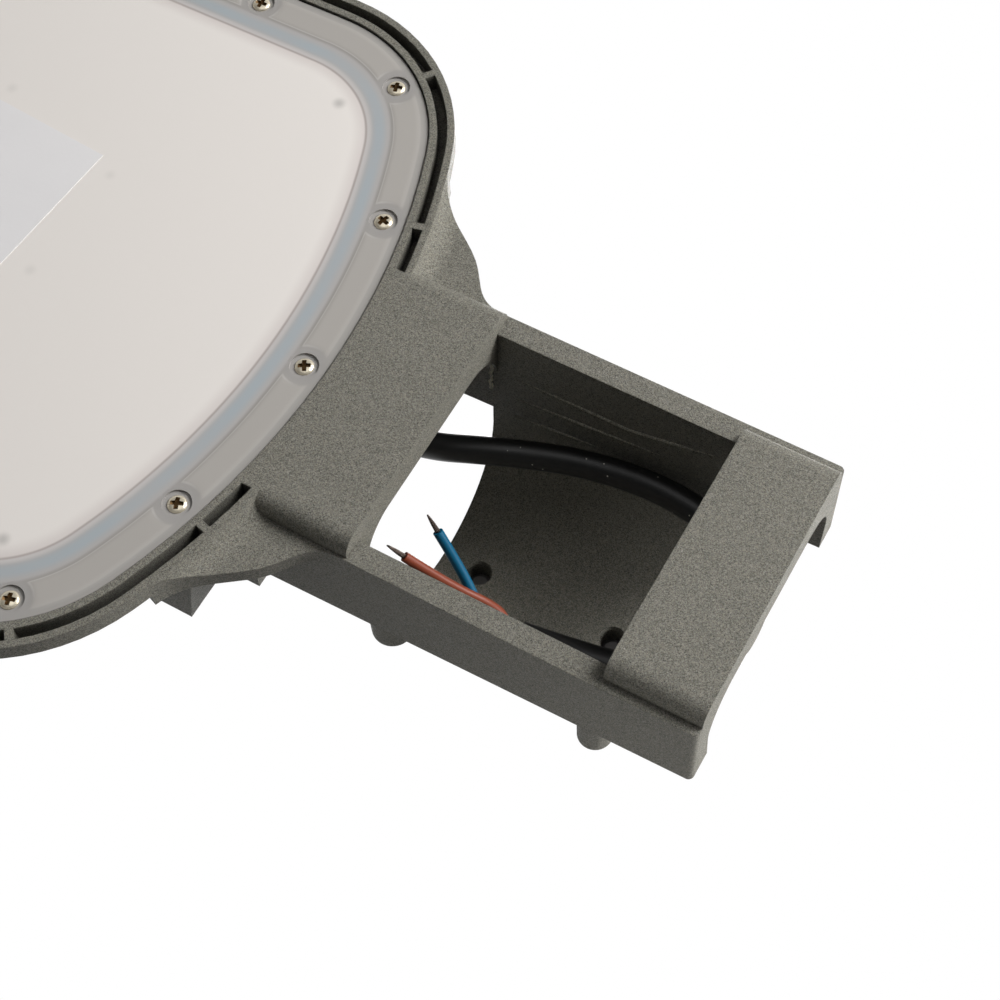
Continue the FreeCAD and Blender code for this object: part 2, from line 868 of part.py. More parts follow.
def strands(route):
    return Part.makeCylinder(strand_diameter / 2, strand_length, route[-1], route[-1] - route[-2])


def data_label():
    sheet = box((0, label_length), (-label_width, 0), (cover_z - label_thickness, cover_z))
    sheet.rotate(Vector(0, 0, 0), Vector(0, 0, 1), label_turn)
    sheet.translate(Vector(head_start + label_setback, label_side, 0))
    return sheet


parts = {
    "housing": housing(),
    "light_cover": cover(),
    "gasket": gasket(),
    "cover_screws": cover_screws(),
    "thermal_pad": board_layer(pad_z, cavity_z),
    "led_board": board_layer(board_z, pad_z),
    "led_chips": led_chips(),
    "board_screws": board_screws(),
    "board_terminal": board_terminal(),
    "driver_case": driver_case(),
    "driver_lid": driver_lid(),
    "driver_screws": driver_screws(),
    "terminal_block": terminal_block(),
    "gland_body": gland_body(),
    "gland_cap": gland_cap(),
    "gland_locknut": gland_locknut(),
    "gland_seal": gland_seal(),
    "gland_sleeve": gland_sleeve(),
    "clamp_bolts": clamp_bolts(),
    "supply_cable": tube(supply_route, jacket_diameter, "supply_cable"),
    "brown_core": tube(brown_route, core_diameter, "brown_core"),
    "blue_core": tube(blue_route, core_diameter, "blue_core"),
    "brown_strands": strands(brown_route),
    "blue_strands": strands(blue_route),
    "data_label": data_label(),
}

os.makedirs("parts", exist_ok=True)
for name, shape in parts.items():
    shape.exportStep(f"parts/{name}.step")
    print(name, "solids", len(shape.Solids), "volume", round(shape.Volume), "valid", shape.isValid())
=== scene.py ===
import math
import random

import bmesh
import bpy
from mathutils import Matrix, Vector


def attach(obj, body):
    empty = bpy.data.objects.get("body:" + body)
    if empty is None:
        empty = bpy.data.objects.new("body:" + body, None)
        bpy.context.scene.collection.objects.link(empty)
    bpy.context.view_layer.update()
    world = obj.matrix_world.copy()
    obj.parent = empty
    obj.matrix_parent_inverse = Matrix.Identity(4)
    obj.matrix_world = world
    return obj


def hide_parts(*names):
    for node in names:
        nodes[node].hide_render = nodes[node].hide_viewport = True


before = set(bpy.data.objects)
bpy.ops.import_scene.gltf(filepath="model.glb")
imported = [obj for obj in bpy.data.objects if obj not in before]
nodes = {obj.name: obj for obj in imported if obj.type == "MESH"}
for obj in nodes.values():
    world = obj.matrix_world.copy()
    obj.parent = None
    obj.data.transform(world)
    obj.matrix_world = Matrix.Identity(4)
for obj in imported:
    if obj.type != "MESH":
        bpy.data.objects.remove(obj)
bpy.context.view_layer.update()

mm = 0.001
# Points of a shape in millimetres that lie closer than this become one
mergeDistance = 1e-4
dice = random.Random(7)
print("frame loaded:", len(nodes), "nodes")


# Camera where the photograph was taken, below the light side; places in millimetres
cameraView = {
    "place": (-51.87, -187.53, -427.31),
    "aim": (68.09, -7.63, -35.25),
    "up": (0.41779, 0.77055, -0.48136),
    "lens": 67.96,
    "sensor": 36.0,
}


def makeCamera():
    data = bpy.data.cameras.new("camera")
    data.lens = cameraView["lens"]
    data.sensor_fit = "HORIZONTAL"
    data.sensor_width = cameraView["sensor"]
    camera = bpy.data.objects.new("camera", data)
    bpy.context.collection.objects.link(camera)
    place = Vector(cameraView["place"]) * mm
    forward = (Vector(cameraView["aim"]) * mm - place).normalized()
    right = forward.cross(Vector(cameraView["up"])).normalized()
    up = right.cross(forward)
    turn = Matrix((right, up, -forward)).transposed().to_4x4()
    camera.matrix_world = Matrix.Translation(place) @ turn
    bpy.context.scene.camera = camera


makeCamera()


# Supply cable: the same route as the solids, in millimetres
cableSet = {
    "jacket": 7.5,
    "core": 2.6,
    "coreSpacing": 3.5,
    "coreExit": 4.0,
    "length": 191.8,
}
supplyRoute = [
    (125.6, 8.6, -6.0), (106.0, 8.6, -6.0), (84.0, 18.5, -5.8), (62.0, 25.2, -7.6),
    (38.0, 26.6, -10.0), (14.0, 20.5, -10.8), (7.5, 0.0, -10.0), (14.0, -17.5, -8.2),
    (34.0, -22.0, -5.6), (54.0, -24.6, -5.2),
]
jacketEnd = Vector(supplyRoute[-1])
jacketWay = (jacketEnd - Vector(supplyRoute[-2])).normalized()
coreSide = Vector((-jacketWay.y, jacketWay.x, 0)) * cableSet["coreSpacing"] / 2
coreExit = jacketWay * cableSet["coreExit"]
brownRoute = [
    jacketEnd + coreSide, jacketEnd + coreSide + coreExit,
    (61.2, -22.9, -11.2), (72.2, -26.2, -18.2), (83.0, -28.2, -27.2),
]
blueRoute = [
    jacketEnd - coreSide, jacketEnd - coreSide + coreExit,
    (67.0, -23.0, -7.4), (72.5, -20.5, -17.0), (79.7, -18.2, -26.2),
]


def makeRoute(name, points, diameter):
    curve = bpy.data.curves.new(name, "CURVE")
    curve.dimensions = "3D"
    curve.bevel_depth = diameter / 2 * mm
    curve.bevel_resolution = 6
    curve.use_fill_caps = True
    spline = curve.splines.new("NURBS")
    spline.points.add(len(points) - 1)
    for point, place in zip(spline.points, points):
        point.co = (*(Vector(place) * mm), 1)
    spline.order_u = 3
    spline.use_endpoint_u = True
    spline.resolution_u = 16
    piece = bpy.data.objects.new(name, curve)
    bpy.context.collection.objects.link(piece)
    return piece


def meshObject(name, shape):
    mesh = bpy.data.meshes.new(name)
    shape.to_mesh(mesh)
    shape.free()
    piece = bpy.data.objects.new(name, mesh)
    bpy.context.collection.objects.link(piece)
    return piece


# A shape drawn in millimetres becomes a piece in metres
def millimetrePiece(name, shape):
    bmesh.ops.recalc_face_normals(shape, faces=shape.faces)
    bmesh.ops.scale(shape, vec=(mm, mm, mm), verts=shape.verts)
    return meshObject(name, shape)


def smoothAngle(piece, degrees=35):
    piece.data.shade_smooth()
    piece.data.set_sharp_from_angle(angle=math.radians(degrees))


def edgesAt(verts):
    return list({edge for vert in verts for edge in vert.link_edges})


def ofKind(items, kind):
    return [item for item in items if isinstance(item, kind)]


# Bare end of a core: twisted wires, in layers that each have a distance from the middle and a count
strandSet = {
    "layers": ((0, 1), (0.27, 6), (0.52, 12)),
    "wire": 0.26,
    "sides": 8,
    "length": 5.4,
    "uneven": 0.5,
    "sunk": 0.6,
    "twist": 70,
    "steps": 6,
    "taper": 0.7,
}


def addWire(shape, place, length):
    made = bmesh.ops.create_circle(
        shape, segments=strandSet["sides"], radius=strandSet["wire"] / 2, cap_ends=False,
    )
    bmesh.ops.translate(shape, verts=made["verts"], vec=place)
    edges = edgesAt(made["verts"])
    spun = bmesh.ops.spin(
        shape, geom=edges, cent=(0, 0, 0), axis=(0, 0, 1), dvec=(0, 0, length / strandSet["steps"]),
        angle=math.radians(strandSet["twist"]), steps=strandSet["steps"],
    )
    bmesh.ops.contextual_create(shape, geom=ofKind(spun["geom_last"], bmesh.types.BMEdge))
    bmesh.ops.contextual_create(shape, geom=edges)


def makeStrands(name, route):
    shape = bmesh.new()
    for distance, count in strandSet["layers"]:
        for wire in range(count):
            angle = math.tau * wire / count
            place = (distance * math.cos(angle), distance * math.sin(angle), -strandSet["sunk"])
            length = strandSet["length"] + strandSet["sunk"] - dice.uniform(0, strandSet["uneven"])
            addWire(shape, place, length)
    for vert in shape.verts:
        pinch = 1 - strandSet["taper"] * max(0, vert.co.z / strandSet["length"]) ** 2
        vert.co.x *= pinch
        vert.co.y *= pinch
    start = Vector(route[-1])
    turn = (start - Vector(route[-2])).normalized().to_track_quat("Z", "Y").to_matrix().to_4x4()
    bmesh.ops.transform(shape, matrix=Matrix.Translation(start) @ turn, verts=shape.verts)
    piece = millimetrePiece(name, shape)
    piece.data.shade_smooth()
    return piece


supplyCable = makeRoute("supplyCable", supplyRoute, cableSet["jacket"])
brownCore = makeRoute("brownCore", brownRoute, cableSet["core"])
blueCore = makeRoute("blueCore", blueRoute, cableSet["core"])
brownStrands = makeStrands("brownStrands", brownRoute)
blueStrands = makeStrands("blueStrands", blueRoute)
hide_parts("supply_cable")
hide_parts("brown_core")
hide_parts("blue_core")
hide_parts("brown_strands")
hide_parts("blue_strands")
print("cable made")


# Light cover: its outline is the same family of arcs as the solid's, measured at the cover's edge
coverSize = {
    "start": 121.7,
    "length": 353.5,
    "halfWidth": 100.5,
    "endRadius": 197.0,
    "cornerRadius": 46.0,
    "ledge": -36.9,
    "face": -39.9,
    "thickness": 3.0,
    "chamferStart": 2.75,
    "seamFloor": 2.96,
    "arcStep": 0.9,
}
# Cross section of the cover from its edge inwards: inset, height over the ledge
flangeInsets = (0.25, 1.0, 1.8, 2.3, 3.5, 5.0, 6.5, 8.0, 8.9, 9.4, 10.2, 11.0, 12.5, 15.2, 16.2)
seamInsets = (16.5, 16.9)
opalInsets = (17.6, 22.0)
coverSection = [
    (0.0, coverSize["chamferStart"]),
    *((inset, coverSize["thickness"]) for inset in flangeInsets),
    *((inset, coverSize["seamFloor"]) for inset in seamInsets),
    *((inset, coverSize["thickness"]) for inset in opalInsets),
]
# Screw stations: their places along the outline, the sunk rings round the screws and the seat of a head
stationSet = {
    "inset": 5.8,
    "endAngle": 14.2,
    "cornerAngle": 52.4,
    "sidePitch": 48.2,
    "sideCount": 5,
    "recessRadius": 3.7,
    "recessDepth": 0.65,
    "recessSides": 40,
    "cutterAbove": 1.0,
    "seatDepth": 1.1,
}
headMiddle = coverSize["start"] + coverSize["length"] / 2
cornerY = coverSize["halfWidth"] - coverSize["cornerRadius"]
centreDistance = coverSize["endRadius"] - coverSize["cornerRadius"]
tangentAngle = math.asin(cornerY / centreDistance)
endShift = coverSize["length"] / 2 - coverSize["endRadius"]
cornerShift = endShift + centreDistance * math.cos(tangentAngle)


# A place on the head's outline is an arc's centre and radius and the angle of the way out of the head.
# An entry is a place with the sign of that way along X: -1 at the neck's end, and 1 elsewhere
def outlinePlace(kind, side, along):
    if kind == "end":
        return (headMiddle + side * endShift, 0, coverSize["endRadius"], along)
    if kind == "corner":
        middle = (headMiddle + side * cornerShift, math.copysign(cornerY, along))
        return (*middle, coverSize["cornerRadius"], along)
    return (headMiddle + along, side * cornerY, coverSize["cornerRadius"], side * math.pi / 2)


def outlinePoint(place, inset, side=1):
    centreX, centreY, radius, angle = place
    reach = radius - inset
    return Vector((centreX + side * reach * math.cos(angle), centreY + reach * math.sin(angle), 0))


def arcPlaces(kind, side, start, stop):
    radius = coverSize["endRadius"] if kind == "end" else coverSize["cornerRadius"]
    count = max(2, round(abs(stop - start) * radius / coverSize["arcStep"]))
    angles = [start + (stop - start) * step / count for step in range(count)]
    return [(outlinePlace(kind, side, angle), side) for angle in angles]


def sidePlaces(side, direction):
    count = round(2 * cornerShift / coverSize["arcStep"])
    return [
        (outlinePlace("side", side, direction * cornerShift * (2 * step / count - 1)), 1)
        for step in range(count)
    ]


def outlineLoop():
    quarter = math.pi / 2
    return (
        arcPlaces("end", 1, -tangentAngle, tangentAngle)
        + arcPlaces("corner", 1, tangentAngle, quarter)
        + sidePlaces(1, -1)
        + arcPlaces("corner", -1, quarter, tangentAngle)
        + arcPlaces("end", -1, tangentAngle, -tangentAngle)
        + arcPlaces("corner", -1, -tangentAngle, -quarter)
        + sidePlaces(-1, 1)
        + arcPlaces("corner", 1, -quarter, -tangentAngle)
    )


def stationPlaces():
    places = []
    for side in (-1, 1):
        for angle in (-stationSet["endAngle"], 0, stationSet["endAngle"]):
            places.append((outlinePlace("end", side, math.radians(angle)), side))
        for angle in (-stationSet["cornerAngle"], stationSet["cornerAngle"]):
            places.append((outlinePlace("corner", side, math.radians(angle)), side))
        for step in range(stationSet["sideCount"]):
            along = stationSet["sidePitch"] * (step - (stationSet["sideCount"] - 1) / 2)
            places.append((outlinePlace("side", side, along), 1))
    return places


def placedPoint(entry, inset, z):
    place, side = entry
    point = outlinePoint(place, inset, side)
    return Vector((point.x, point.y, z)) * mm


def cutAway(piece, cutter, overlapping=False):
    cut = piece.modifiers.new("cut", "BOOLEAN")
    cut.operation = "DIFFERENCE"
    cut.solver = "EXACT"
    cut.object = cutter
    cut.use_self = overlapping
    bpy.context.view_layer.update()
    evaluated = piece.evaluated_get(bpy.context.evaluated_depsgraph_get())
    mesh = bpy.data.meshes.new_from_object(evaluated)
    piece.modifiers.clear()
    piece.data = mesh
    bpy.data.objects.remove(cutter)


def easeStep(value, low, high):
    share = min(1.0, max(0.0, (value - low) / (high - low)))
    return share * share * (3 - 2 * share)


# Shallow raised pads between the screws: outer and inner edge by inset, end and halo by distance to a screw
padSet = {
    "height": 0.12,
    "outer": (1.8, 2.3),
    "inner": (8.9, 9.4),
    "end": (5.3, 6.3),
    "halo": (3.9, 6.8),
}


def padShare(inset, away):
    across = easeStep(inset, *padSet["outer"]) * (1 - easeStep(inset, *padSet["inner"]))
    return across * easeStep(away, *padSet["end"])


def makeCover():
    shape = bmesh.new()
    insetLayer = shape.verts.layers.float.new("inset")
    screwLayer = shape.verts.layers.float.new("screwDistance")
    screws = [placedPoint(entry, stationSet["inset"], 0) for entry in stationPlaces()]
    loop = outlineLoop()
    ring = [shape.verts.new(placedPoint(entry, 0, coverSize["ledge"])) for entry in loop]
    edges = [shape.edges.new((a, b)) for a, b in zip(ring, ring[1:] + ring[:1])]
    shape.faces.new(list(reversed(ring)))
    for inset, height in coverSection:
        made = bmesh.ops.extrude_edge_only(shape, edges=edges)["geom"]
        edges = ofKind(made, bmesh.types.BMEdge)
        ring = sorted(ofKind(made, bmesh.types.BMVert), key=lambda vert: vert.index)
        for entry, vert in zip(loop, ring):
            spot = placedPoint(entry, inset, 0)
            away = min((spot.xy - screw.xy).length for screw in screws) / mm
            flat = height == coverSize["thickness"]
            raised = padSet["height"] * padShare(inset, away) if flat else 0
            vert.co = placedPoint(entry, inset, coverSize["ledge"] - height - raised)
            vert[insetLayer] = inset
            vert[screwLayer] = away
    shape.faces.new(ring)
    bmesh.ops.recalc_face_normals(shape, faces=shape.faces)
    return meshObject("lightCover", shape)


def makeRecesses():
    shape = bmesh.new()
    outside = coverSize["face"] - stationSet["cutterAbove"]
    floor = coverSize["face"] + stationSet["recessDepth"]
    radius = stationSet["recessRadius"] * mm
    for entry in stationPlaces():
        centre = placedPoint(entry, stationSet["inset"], (outside + floor) / 2)
        bmesh.ops.create_cone(
            shape, cap_ends=True, segments=stationSet["recessSides"], radius1=radius, radius2=radius,
            depth=(floor - outside) * mm, matrix=Matrix.Translation(centre),
        )
    return meshObject("recesses", shape)


lightCover = makeCover()
cutAway(lightCover, makeRecesses())
smoothAngle(lightCover)
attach(lightCover, "root")
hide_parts("light_cover")
print("cover made:", len(lightCover.data.polygons), "faces")


# Cover screws: domed heads with a cross recess, each turned its own way
screwSet = {
    "headRadius": 2.45,
    "headHeight": 1.35,
    "rimHeight": 0.55,
    "domeAngles": (10, 25, 40, 55, 70, 82),
    "shankRadius": 1.5,
    "shankLength": 9.8,
    "crossLength": 5.0,
    "crossWidth": 1.45,
    "crossDepth": 0.75,
    "crossTaper": (0.45, 0.6, 1),
    "crossReach": 2.1,
    "crossRim": 0.12,
    "crossLow": 0.02,
}


def revolve(shape, profile, steps=36):
    verts = [shape.verts.new((radius, 0, height)) for radius, height in profile]
    edges = [shape.edges.new(pair) for pair in zip(verts, verts[1:])]
    bmesh.ops.spin(
        shape, geom=verts + edges, cent=(0, 0, 0), axis=(0, 0, 1), angle=math.tau, steps=steps,
        use_merge=True,
    )
    bmesh.ops.remove_doubles(shape, verts=shape.verts, dist=mergeDistance)
    bmesh.ops.recalc_face_normals(shape, faces=shape.faces)


def makeCrossCutter():
    cutter = bmesh.new()
    size = (screwSet["crossLength"], screwSet["crossWidth"], 2 * screwSet["crossDepth"])
    for turn in (0, math.pi / 2):
        made = bmesh.ops.create_cube(cutter, size=1)["verts"]
        bmesh.ops.scale(cutter, vec=size, verts=made)
        bmesh.ops.scale(cutter, vec=screwSet["crossTaper"], verts=[vert for vert in made if vert.co.z < 0])
        bmesh.ops.rotate(cutter, matrix=Matrix.Rotation(turn, 3, "Z"), verts=made)
        bmesh.ops.translate(cutter, vec=(0, 0, screwSet["headHeight"]), verts=made)
    return meshObject("cross", cutter)


# Height of the domed head over its seat; the faces of the cross lie lower and get the second material, a
# darker metal that paints shade into the cross recess
def domeHeight(reach):
    rim = screwSet["rimHeight"]
    share = math.sqrt(max(0, 1 - (reach / screwSet["headRadius"]) ** 2))
    return rim + (screwSet["headHeight"] - rim) * share


def makeScrewShape():
    shape = bmesh.new()
    head = screwSet["headRadius"]
    rim = screwSet["rimHeight"]
    top = screwSet["headHeight"]
    shank = screwSet["shankRadius"]
    end = -screwSet["shankLength"]
    turns = [math.radians(degrees) for degrees in screwSet["domeAngles"]]
    dome = [(head * math.cos(turn), rim + (top - rim) * math.sin(turn)) for turn in turns]
    revolve(shape, [(0, end), (shank, end), (shank, 0), (head, 0), (head, rim), *dome, (0, top)])
    screw = meshObject("screw", shape)
    cutAway(screw, makeCrossCutter(), overlapping=True)
    for face in screw.data.polygons:
        reach = face.center.xy.length
        inside = screwSet["crossLow"] < face.center.z < domeHeight(reach) - screwSet["crossRim"]
        # Painted shade: faces inside the cross recess, below the dome's rim, take the dark second material
        face.material_index = 1 if inside and reach < screwSet["crossReach"] else 0
    return screw


def makeCoverScrews():
    pattern = makeScrewShape()
    seat = coverSize["face"] + stationSet["seatDepth"]
    shape = bmesh.new()
    for entry in stationPlaces():
        before = len(shape.verts)
        shape.from_mesh(pattern.data)
        shape.verts.ensure_lookup_table()
        own = shape.verts[before:]
        spot = placedPoint(entry, stationSet["inset"], seat)
        flip = Matrix.Rotation(math.pi, 4, "X") @ Matrix.Rotation(dice.uniform(0, math.tau), 4, "Z")
        bmesh.ops.transform(shape, matrix=Matrix.Translation(spot) @ flip @ Matrix.Scale(mm, 4), verts=own)
    bpy.data.objects.remove(pattern)
    piece = meshObject("coverScrews", shape)
    smoothAngle(piece, degrees=30)
    return piece


coverScrews = makeCoverScrews()
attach(coverScrews, "root")
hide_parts("cover_screws")
print("cover screws made")


# Clamp bolts: a chamfered hexagon head on a threaded shank
boltSet = {
    "places": (41.0, 82.0),
    "tip": 36.45,
    "tipChamfer": 0.8,
    "tipShare": 0.75,
    "seat": 45.5,
    "headWidth": 13.0,
    "headHeight": 5.3,
    "headBevel": 0.45,
    "radius": 3.5,
}
# Thread of the bolts and their holes; a bolt's shank stays plain over the gaps at its ends
threadSet = {
    "pitch": 1.25,
    "depth": 0.62,
    "crestHalf": 0.08,
    "overlap": 0.02,
    "perTurn": 28,
    "startGap": 1.0,
    "endGap": 0.3,
}


def threadSpiral(shape, x, low, length, crest, root):
    half = threadSet["pitch"] / 2
    flat = threadSet["crestHalf"]
    verts = [
        shape.verts.new((x + reach, 0, low + rise))
        for reach, rise in ((root, -half), (crest, -flat), (crest, flat), (root, half))
    ]
    edges = [shape.edges.new(pair) for pair in zip(verts, verts[1:])]
    turns = length / threadSet["pitch"]
    steps = round(turns * threadSet["perTurn"])
    bmesh.ops.spin(
        shape, geom=verts + edges, cent=(x, 0, 0), axis=(0, 0, 1), dvec=(0, 0, length / steps),
        angle=math.tau * turns, steps=steps,
    )
    bmesh.ops.remove_doubles(shape, verts=shape.verts, dist=mergeDistance)


def makeBoltCore():
    core = bmesh.new()
    root = boltSet["radius"] - threadSet["depth"]
    outer = root + threadSet["overlap"]
    tip = boltSet["tip"]
    profile = [
        (0, tip), (root * boltSet["tipShare"], tip), (outer, tip + boltSet["tipChamfer"]),
        (outer, boltSet["seat"]),
    ]
    revolve(core, profile, threadSet["perTurn"])
    corner = boltSet["headWidth"] / math.sqrt(3)
    head = bmesh.ops.create_cone(
        core, cap_ends=True, segments=6, radius1=corner, radius2=corner, depth=boltSet["headHeight"],
        matrix=Matrix.Translation((0, 0, boltSet["seat"] + boltSet["headHeight"] / 2)),
    )
    bmesh.ops.bevel(
        core, geom=edgesAt(head["verts"]), offset=boltSet["headBevel"], affect="EDGES", segments=2,
        profile=0.5, material=-1,
    )
    return core


def makeBolts():
    shape = bmesh.new()
    low = boltSet["tip"] + threadSet["startGap"]
    length = boltSet["seat"] - low - threadSet["endGap"]
    for x in boltSet["places"]:
        threadSpiral(shape, x, low, length, boltSet["radius"], boltSet["radius"] - threadSet["depth"])
        core = makeBoltCore()
        bmesh.ops.translate(core, verts=core.verts, vec=(x, 0, 0))
        part = bpy.data.meshes.new("boltCore")
        core.to_mesh(part)
        core.free()
        shape.from_mesh(part)
        bpy.data.meshes.remove(part)
    piece = millimetrePiece("clampBolts", shape)
    smoothAngle(piece, degrees=30)
    return piece


# Screw threads in the two clamp holes, seen past the ends of the bolts
holeThreadSet = {"low": 31.2, "length": 7.5, "crest": 3.2, "root": 3.62}


def makeHoleThreads():
    shape = bmesh.new()
    for x in boltSet["places"]:
        threadSpiral(shape, x, **holeThreadSet)
    return millimetrePiece("holeThreads", shape)


# Casting marks half sunk in the neck's far wall: three low ribs, and a ragged flash line at the bridge
markSet = {
    "wallY": 30.24,
    "draft": -0.079,
    "sides": 8,
    "endShare": 0.2,
}
# The lines' points are X and Z in millimetres, and each stretch between two points is made in steps
ribLines = {
    "width": 0.95,
    "steps": 1,
    "ragged": 0.0,
    "lines": [
        [(87.0, -20.3), (62.0, -20.7), (54.0, -20.7), (42.8, -23.2), (31.0, -26.0)],
        [(87.0, -11.9), (66.0, -14.0), (45.0, -16.1)],
        [(87.0, -4.1), (75.0, -5.6), (62.0, -7.2)],
    ],
}
flashLines = {
    "width": 1.2,
    "steps": 9,
    "ragged": 0.28,
    "lines": [[(92.9, -38.4), (93.2, -32.0), (93.5, -26.0), (93.8, -19.0), (94.0, -11.0)]],
}


def markPath(points, steps, ragged):
    path = []
    for start, stop in zip(points, points[1:]):
        for step in range(steps):
            share = step / steps
            path.append([a + (b - a) * share + dice.uniform(-ragged, ragged) for a, b in zip(start, stop)])
    return path + [points[-1]]


def markTurn(path, index):
    last = len(path) - 1
    (x0, z0), (x1, z1) = path[max(0, index - 1)], path[min(last, index + 1)]
    way = Vector((x1 - x0, 0, z1 - z0))
    return way.to_track_quat("Z", "Y").to_matrix()


def makeMarks(name, marks):
    shape = bmesh.new()
    ragged = marks["ragged"]
    for points in marks["lines"]:
        path = markPath(points, marks["steps"], ragged)
        ring = None
        for index, (x, z) in enumerate(path):
            end = index in (0, len(path) - 1)
            size = marks["width"] * (markSet["endShare"] if end else 1 + dice.uniform(-1, 1) * ragged)
            made = bmesh.ops.create_circle(
                shape, segments=markSet["sides"], radius=size / 2, cap_ends=end,
            )["verts"]
            bmesh.ops.rotate(shape, verts=made, matrix=markTurn(path, index))
            bmesh.ops.translate(shape, verts=made, vec=(x, markSet["wallY"] + markSet["draft"] * z, z))
            edges = edgesAt(made)
            if ring:
                bmesh.ops.bridge_loops(shape, edges=ring + edges)
            ring = edges
    piece = millimetrePiece(name, shape)
    piece.data.shade_smooth()
    return piece


holeThreads = makeHoleThreads()
castingRibs = makeMarks("castingRibs", ribLines)
flashLine = makeMarks("flashLine", flashLines)
for piece in (holeThreads, castingRibs, flashLine):
    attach(piece, "root")
clampBolts = makeBolts()
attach(clampBolts, "root")
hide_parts("clamp_bolts")
print("clamp bolts made")


# Shader helpers: a node's inputs are each set to a value or linked to another node's output
def addNode(tree, kind, inputs=None, **settings):
    node = tree.nodes.new(kind)
    for name, value in settings.items():
        setattr(node, name, value)
    for name, value in (inputs or {}).items():
        if isinstance(value, bpy.types.NodeSocket):
            tree.links.new(value, node.inputs[name])
        else:
            node.inputs[name].default_value = value
    return node


# A group takes a vector and named amounts, and puts out named values
def newGroup(name, amounts, values):
    group = bpy.data.node_groups.new(name, "ShaderNodeTree")
    group.interface.new_socket("Vector", in_out="INPUT", socket_type="NodeSocketVector")
    for label, amount in amounts.items():
        socket = group.interface.new_socket(label, in_out="INPUT", socket_type="NodeSocketFloat")
        socket.default_value = amount
    for label in values:
        group.interface.new_socket(label, in_out="OUTPUT", socket_type="NodeSocketFloat")
    start = group.nodes.new("NodeGroupInput")
    end = group.nodes.new("NodeGroupOutput")
    return group, start.outputs, end.inputs


def newMaterial(name, **surface):
    material = bpy.data.materials.new(name)
    material.use_nodes = True
    tree = material.node_tree
    shader = tree.nodes["Principled BSDF"]
    for label, value in surface.items():
        shader.inputs[label.replace("_", " ")].default_value = value
    return material, tree, shader


def mathNode(tree, operation, first, second):
    return addNode(tree, "ShaderNodeMath", {0: first, 1: second}, operation=operation).outputs[0]


def multiply(tree, first, second):
    return mathNode(tree, "MULTIPLY", first, second)


def mixColor(tree, factor, first, second, blend="MIX"):
    inputs = {0: factor, 6: first, 7: second}
    return addNode(tree, "ShaderNodeMix", inputs, data_type="RGBA", blend_type=blend).outputs[2]


def mixValue(tree, factor, first, second):
    return addNode(tree, "ShaderNodeMix", {0: factor, 2: first, 3: second}, data_type="FLOAT").outputs[0]


def mapRange(tree, value, given, wanted=(0.0, 1.0), smooth=False):
    inputs = {
        "Value": value, "From Min": given[0], "From Max": given[1], "To Min": wanted[0], "To Max": wanted[1],
    }
    kind = "SMOOTHSTEP" if smooth else "LINEAR"
    return addNode(tree, "ShaderNodeMapRange", inputs, interpolation_type=kind).outputs[0]


def greyColor(tree, value):
    inputs = {"Red": value, "Green": value, "Blue": value}
    return addNode(tree, "ShaderNodeCombineColor", inputs).outputs["Color"]


def rgb(red, green, blue):
    channels = []
    for value in (red, green, blue):
        share = value / 255
        channels.append(share / 12.92 if share <= 0.04045 else ((share + 0.055) / 1.055) ** 2.4)
    return (*channels, 1)


# Random cells: the distance from a cell's point, and a random colour for each cell
def randomCells(group, vector, scale):
    cells = addNode(group, "ShaderNodeTexVoronoi", {"Vector": vector, "Scale": scale})
    colors = addNode(group, "ShaderNodeSeparateColor", {"Color": cells.outputs["Color"]})
    return cells.outputs["Distance"], colors.outputs


# Fine grains of a textured coat: cells of two sizes with a tone each, and slow patches between them
def grainGroup():
    group, given, result = newGroup(
        "coatGrain", {"Scale": 1500.0, "Patch Scale": 40.0}, ("Grain", "Hue", "Patch", "Height"),
    )
    fineShare = 1.7
    wide, wideColors = randomCells(group, given["Vector"], given["Scale"])
    fine, fineColors = randomCells(group, given["Vector"], multiply(group, given["Scale"], fineShare))
    tone = mathNode(group, "ADD", wideColors["Red"], fineColors["Red"])
    group.links.new(multiply(group, tone, 0.5), result["Grain"])
    group.links.new(fineColors["Blue"], result["Hue"])
    heights = [multiply(group, wideColors["Green"], wide), multiply(group, fineColors["Green"], fine)]
    group.links.new(mathNode(group, "ADD", *heights), result["Height"])
    patch = addNode(group, "ShaderNodeTexNoise", {
        "Vector": given["Vector"], "Scale": given["Patch Scale"], "Detail": 3.0,
    })
    group.links.new(patch.outputs["Fac"], result["Patch"])
    return group


# Small pale specks of dust, few and far between
def dustGroup():
    group, given, result = newGroup("dustSpecks", {"Scale": 300.0, "Amount": 0.1, "Size": 0.08}, ("Mask",))
    distance, colors = randomCells(group, given["Vector"], given["Scale"])
    chosen = mathNode(group, "LESS_THAN", colors["Red"], given["Amount"])
    near = mathNode(group, "LESS_THAN", distance, given["Size"])
    group.links.new(multiply(group, chosen, near), result["Mask"])
    return group


dustSpecks = dustGroup()
coatGrain = grainGroup()


def objectCoordinates(tree):
    return addNode(tree, "ShaderNodeTexCoord").outputs["Object"]


def placeGroup(tree, group, vector, amounts):
    return addNode(tree, "ShaderNodeGroup", {"Vector": vector, **amounts}, node_tree=group).outputs


def bumpNormal(tree, height, strength, distance, normal=None):
    inputs = {"Height": height, "Strength": strength, "Distance": distance}
    if normal:
        inputs["Normal"] = normal
    return addNode(tree, "ShaderNodeBump", inputs).outputs["Normal"]


dustColor = rgb(170, 168, 160)
